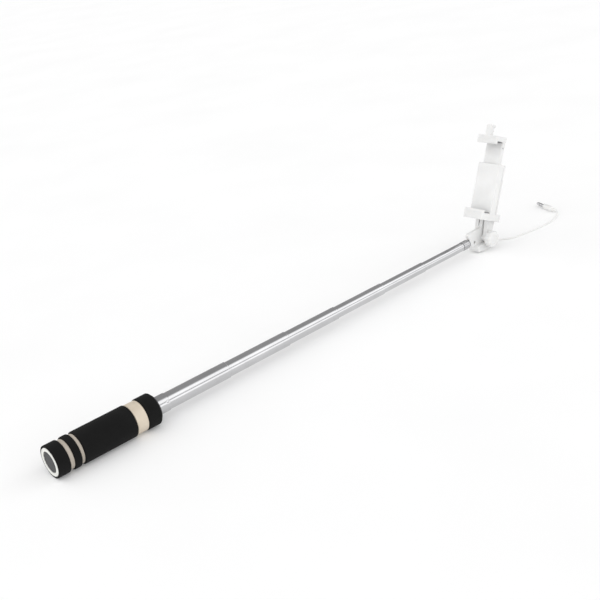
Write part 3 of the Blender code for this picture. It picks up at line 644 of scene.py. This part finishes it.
base = shape(leaf, ("+", foot),
             ("+", lathe(fillet([(-3.1, 0), (-3.1, 3.6), (3.1, 3.6), (3.1, 0)], [0, 0.3, 0.3, 0], False, 3),
                         "Y", PIVOT, 48)),
             ("-", block((480.0, -0.95, -3.9), (498.5, 0.95, 1.4))),
             ("-", lathe([(-4.0, 0), (-4.0, 1.4), (4.0, 1.4), (4.0, 0)], "Y", (494.0, 0, -1.2), 40)),
             ("-", lathe([(-5.0, 0), (-5.0, 1.8), (5.0, 1.8), (5.0, 0)], "Y", PIVOT, 40)),
             ("-", tube_along(CHANNEL, 0.9, 16)),
             ("-", lathe([(513.8, 0), (513.8, 1.7), (519.0, 1.7), (519.0, 0)], "X", (0, 0, -9.5), 32)))
show("pivot_base", base, WHITE, "head", ["hinge_base"], angle=32)

gland = [(514.1, 0.0), (514.1, 1.4), (517.3, 1.4), (517.3, 2.3), (517.5, 2.4), (518.1, 2.4), (518.4, 2.2)]
for k in range(4):
    s = 518.7 + k * 1.15
    r = 2.0 - 0.75 * (s - 518.7) / 4.8
    gland += [(s, r - 0.12), (s + 0.15, r), (s + 0.8, r - 0.06), (s + 0.95, r - 0.28)]
gland += [(523.5, 1.1), (523.5, 0.0)]
show("strain_relief", lathe(gland, "X", (0, 0, -9.5), 48), CORD, "head", ["cord_gland"])

# ------------------------------------------------------------------ clamp
JAW_FRONT, JAW_REAR, JAW_W, LIP = 22.2, 6.0, 26.4, 1.4


def jaw_plan(front, rear, width, r=3.0):
    w = width / 2
    return ([(rear, -w), (rear, w)] + arc(front + r, w - r, r, 90, 180, 9)
            + arc(front + r, -w + r, r, 180, 270, 9))


def grip_ribs(z0, z1, count, width=19.0, proud=0.28):
    """Low horizontal ribs on the front of a jaw."""
    made = []
    pitch = (z1 - z0) / count
    for k in range(count):
        z = z0 + pitch * (k + 0.5)
        made.append(block((-JAW_FRONT - proud, -width / 2, z - pitch * 0.24),
                          (-JAW_FRONT + 0.4, width / 2, z + pitch * 0.24), 0.12, 2))
    return made


lower = slab(jaw_plan(-JAW_FRONT, JAW_REAR, JAW_W), 17.8, JAW_LOW + 1.8, "XY", 0.55, 3)
column = block((-11.5, -13.2, 22.0), (-3.2, 13.2, 75.0), 0.7, 3)
ears = slab([(5.1, 19.5), (5.1, 16.5)] + arc(0, 0, 4.0, 5, -185, 25) + [(-6.2, 16.5), (-6.2, 19.5)],
            -7.9, 7.9, "XZ", 0.5, 3)
body_mesh = shape(
    lower,
    ("-", block((-JAW_FRONT + LIP, -20.0, JAW_LOW - 1.1), (20.0, 20.0, 40.0))),
    ("+", column), ("+", ears),
    *[("+", r) for r in grip_ribs(19.0, 26.6, 4)],
    ("-", block((-9.3, -9.8, 28.0), (2.0, 9.8, 90.0))),
    ("-", block((-12.2, -3.4, -10.0), (12.0, 3.4, 23.0))),
    ("-", lathe([(-10.0, 0), (-10.0, 1.8), (10.0, 1.8), (10.0, 0)], "Y", (0, 0, 0), 40)),
    ("-", lathe([(5.7, 0), (5.7, 3.45), (10.0, 3.45), (10.0, 0)], "Y", (0, 0, 0), 6)),
    ("-", block((-7.3, -12.3, 28.1), (2.0, 12.3, 30.0))))
show("clamp_housing", body_mesh, WHITE, "clamp", ["clamp_body"], CLAMP, 32)

cover = block((-2.9, -13.2, JAW_LOW - 0.8), (-0.5, 13.2, 75.0), 0.6, 3)
SCREW_AT = [(y, z) for y in (-11.3, 11.3) for z in (33.5, 69.0)]
cuts = [("-", lathe([(-4.0, 0), (-4.0, 0.95), (-2.0, 0.95), (-2.0, 1.6), (2.0, 1.6), (2.0, 0)], "X", (0, y, z), 24))
        for y, z in SCREW_AT]
cuts += [("-", block((-0.85, -8.0, z - 0.4), (1.0, 8.0, z + 0.4), 0.1, 1)) for z in (38.0, 41.0, 44.0, 47.0)]
show("housing_cover", shape(cover, *cuts), WHITE, "clamp", ["clamp_rear_cover"], CLAMP, 32)
for k, (y, z) in enumerate(SCREW_AT, start=1):
    head = shape(lathe(fillet([(-9.2, 0), (-9.2, 0.4), (-8.6, 0.65), (-1.7, 0.65), (-1.7, 1.3), (-0.85, 1.2), (-0.75, 0)],
                              [0, 0, 0, 0, 0.1, 0.25, 0], False, 3), "X", (0, y, z), 24),
                 ("-", block((-1.25, y - 0.8, z - 0.16), (0.0, y + 0.8, z + 0.16))),
                 ("-", block((-1.25, y - 0.16, z - 0.8), (0.0, y + 0.16, z + 0.8))))
    show(f"cross_screw_{k}", head, STEEL, "clamp", [f"cover_screw_{k}"], CLAMP)


def jaw_pad(z0, z1, place, body, name, node):
    """Soft pad with shallow grooves along it."""
    up_side = z1 > z0
    low, high = min(z0, z1), max(z0, z1)
    pad = block((-20.5, -11.8, low), (-11.8, 11.8, high), 0.2, 2)
    cuts = []
    for k in range(4):
        x = -19.2 + k * 2.0
        z = z1 - 0.22 if up_side else z1 - 0.5
        cuts.append(("-", block((x - 0.3, -13.0, z), (x + 0.3, 13.0, z + 0.72), 0, 1)))
    show(name, shape(pad, *cuts), PAD, body, [node], place)


jaw_pad(JAW_LOW - 0.8, JAW_LOW, CLAMP, "clamp", "pad_low", "lower_jaw_pad")
jaw_pad(0.8, 0.0, JAW, "jaw", "pad_high", "upper_jaw_pad")

show("nut", shape(lathe(fillet([(6.0, 1.8), (6.0, 3.1), (8.2, 3.1), (8.2, 1.8)], [0, 0.1, 0.35, 0.1], True, 3),
                        "Y", (0, 0, 0), 6)), STEEL, "clamp", ["pivot_nut"], CLAMP, 20)
for name, node, place, z, reach, body in (("pin_low", "spring_pin_lower", CLAMP, 29.0, 12.0, "clamp"),
                                          ("pin_high", "spring_pin_upper", JAW, -4.5, 9.2, "jaw")):
    show(name, lathe(fillet([(-reach, 0), (-reach, 0.75), (reach, 0.75), (reach, 0)], [0, 0.2, 0.2, 0], False, 3),
                     "Y", (-6.3, 0, z), 24), STEEL, body, [node], place)
for side, y in (("left", 4.0), ("right", -4.0)):
    turns, low, high = 44, 30.6, 90.0
    path = [(-6.3 + 1.02 * math.cos(2 * math.pi * k / 10), y + 1.02 * math.sin(2 * math.pi * k / 10),
             low + (high - low) * k / (turns * 10)) for k in range(turns * 10 + 1)]
    spring = show(f"coil_{side}", tube_along(path, 0.26, 6), STEEL, "clamp",
                  [f"jaw_spring_{side}"], CLAMP, 80)
    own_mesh(spring)

# ------------------------------------------------------------------ knob
KNOB = [(-15.8, 0.0), (-15.8, 5.0), (-15.75, 5.6), (-15.4, 6.6), (-15.3, 7.3), (-15.1, 7.9), (-14.6, 8.35),
        (-13.8, 8.5), (-10.2, 8.5), (-9.2, 8.35), (-8.7, 7.8), (-8.5, 7.0), (-8.5, 1.8), (-13.8, 1.8), (-13.8, 0.0)]


def lobed(s, r, a):
    if r < 6.0:
        return r
    share = min(1.0, (r - 6.0) / 2.0)
    dip = (0.5 - 0.5 * math.cos(10 * a)) ** 1.6
    return r - 0.75 * share * dip


knob_mesh = lathe(dense(KNOB, 0.8), "Y", (0, 0, 0), 160, lobed)
knob_mesh = shape(knob_mesh, ("-", lathe(fillet([(-16.8, 0), (-16.8, 4.6), (-15.55, 4.4), (-15.45, 0)],
                                                [0, 0, 0.2, 0], False, 4), "Y", (0, 0, 0), 64)))
show("thumb_knob", knob_mesh, WHITE, "knob", ["knob"], CLAMP, 32)
show("stud", lathe(fillet([(-13.5, 0), (-13.5, 1.5), (8.7, 1.5), (8.9, 1.2), (8.9, 0)], [0, 0.2, 0.1, 0.1, 0], False, 3),
                   "Y", (0, 0, 0), 32), STEEL, "knob", ["pivot_stud"], CLAMP)

# ------------------------------------------------------------------ upper jaw
top = slab(jaw_plan(-JAW_FRONT, -7.4, JAW_W), -1.8, 6.2, "XY", 0.55, 3)
TAB = [(-22.1, 4.0), (-22.1, 16.8), (-15.4, 16.8), (-15.4, 14.2), (-18.1, 13.9), (-18.1, 11.6), (-17.0, 11.3),
       (-17.0, 10.1), (-18.1, 9.8), (-18.1, 4.0)]
tab = slab(fillet(TAB, [0, 0.8, 0.7, 0.7, 0.7, 0.5, 0.4, 0.4, 0.5, 0], True, 4), -3.3, 3.3, "XZ", 0.3, 2)
jaw_mesh = shape(
    top,
    ("-", block((-JAW_FRONT + LIP, -20.0, -10.0), (20.0, 20.0, 1.1))),
    ("+", block((-9.0, -9.5, -50.5), (-3.5, 9.5, 3.0), 0.4, 2)),
    ("+", tab),
    *[("+", r) for r in grip_ribs(-0.8, 5.6, 4)],
    ("-", block((-8.0, -8.0, -52.0), (-4.6, 8.0, -2.5))),
    ("-", lathe([(-12.0, 0), (-12.0, 0.95), (12.0, 0.95), (12.0, 0)], "Y", (-6.3, 0, -4.5), 24)))
show("jaw_top", jaw_mesh, WHITE, "jaw", ["upper_jaw"], JAW, 32)

# ------------------------------------------------------------------ CAD nodes that stay
STAY = {"rear_bush": BLACK, "switch_board": BOARD, "switch_housing": BLACK, "switch_plunger": DISC,
        "handle_lead": LEAD, "head_lead": LEAD}
STAY.update({f"friction_sleeve_{k}": BRASS for k in range(2, 8)})
for node, mat in STAY.items():
    ob = frame["nodes"][node]
    ob.data.materials.clear()
    ob.data.materials.append(mat)

# ------------------------------------------------------------------ floor and light
floor_mesh = bpy.data.meshes.new("floor")
floor_mesh.from_pydata([(-40, -40, 0), (40, -40, 0), (40, 40, 0), (-40, 40, 0)], [], [(0, 1, 2, 3)])
floor_mat, tree, sh = nodes_of("floor")
soft = noise_tex(tree, 6, 2)
tone = ramp(tree, soft.outputs["Fac"], [(0.3, grey(0.80)), (0.7, grey(0.82))])
tree.links.new(tone.outputs["Color"], sh.inputs["Base Color"])
sh.inputs["Roughness"].default_value = 0.9
sh.inputs["Specular IOR Level"].default_value = 0.1
sh.inputs["Emission Color"].default_value = (1.0, 1.0, 1.0, 1.0)
sh.inputs["Emission Strength"].default_value = 0.12
floor_mesh.materials.append(floor_mat)
floor = bpy.data.objects.new("floor", floor_mesh)
bpy.context.scene.collection.objects.link(floor)

# soft room light: bright on the camera's side, greyer behind
sky = bpy.data.worlds.new("studio")
sky.use_nodes = True
bpy.context.scene.world = sky
wt = sky.node_tree
back = wt.nodes["Background"]
coord = wt.nodes.new("ShaderNodeTexCoord")
split = wt.nodes.new("ShaderNodeSeparateXYZ")
wt.links.new(coord.outputs["Generated"], split.inputs["Vector"])
angle = wt.nodes.new("ShaderNodeMath")
angle.operation = "ARCTAN2"
wt.links.new(split.outputs["Z"], angle.inputs[0])
wt.links.new(split.outputs["Y"], angle.inputs[1])
share = wt.nodes.new("ShaderNodeMapRange")
share.inputs["From Min"].default_value = 0.0
share.inputs["From Max"].default_value = math.pi
wt.links.new(angle.outputs[0], share.inputs["Value"])
LIGHT = [(0.0, 0.25), (0.55, 0.25), (0.65, 1.0), (0.785, 1.0), (0.83, 0.42), (0.865, 0.42), (0.905, 1.0), (1.0, 1.0)]
glow = wt.nodes.new("ShaderNodeValToRGB")
while len(glow.color_ramp.elements) < len(LIGHT):
    glow.color_ramp.elements.new(0.5)
for element, (at, v) in zip(glow.color_ramp.elements, LIGHT):
    element.position = at
    element.color = (v, v, v, 1.0)
wt.links.new(share.outputs["Result"], glow.inputs["Fac"])
toward = wt.nodes.new("ShaderNodeMapRange")          # an even soft panel on the handle's end
toward.interpolation_type = "SMOOTHSTEP"
toward.inputs["From Min"].default_value = 0.28
toward.inputs["From Max"].default_value = -0.12
wt.links.new(split.outputs["X"], toward.inputs["Value"])
blend = wt.nodes.new("ShaderNodeMix")
blend.data_type = "RGBA"
wt.links.new(toward.outputs["Result"], blend.inputs["Factor"])
wt.links.new(glow.outputs["Color"], [i for i in blend.inputs if i.name == "A" and i.type == "RGBA"][0])
[i for i in blend.inputs if i.name == "B" and i.type == "RGBA"][0].default_value = (0.76, 0.76, 0.76, 1.0)
wt.links.new([o for o in blend.outputs if o.type == "RGBA"][0], back.inputs["Color"])
back.inputs["Strength"].default_value = 1.72
bpy.context.scene.view_settings.view_transform = "Standard"
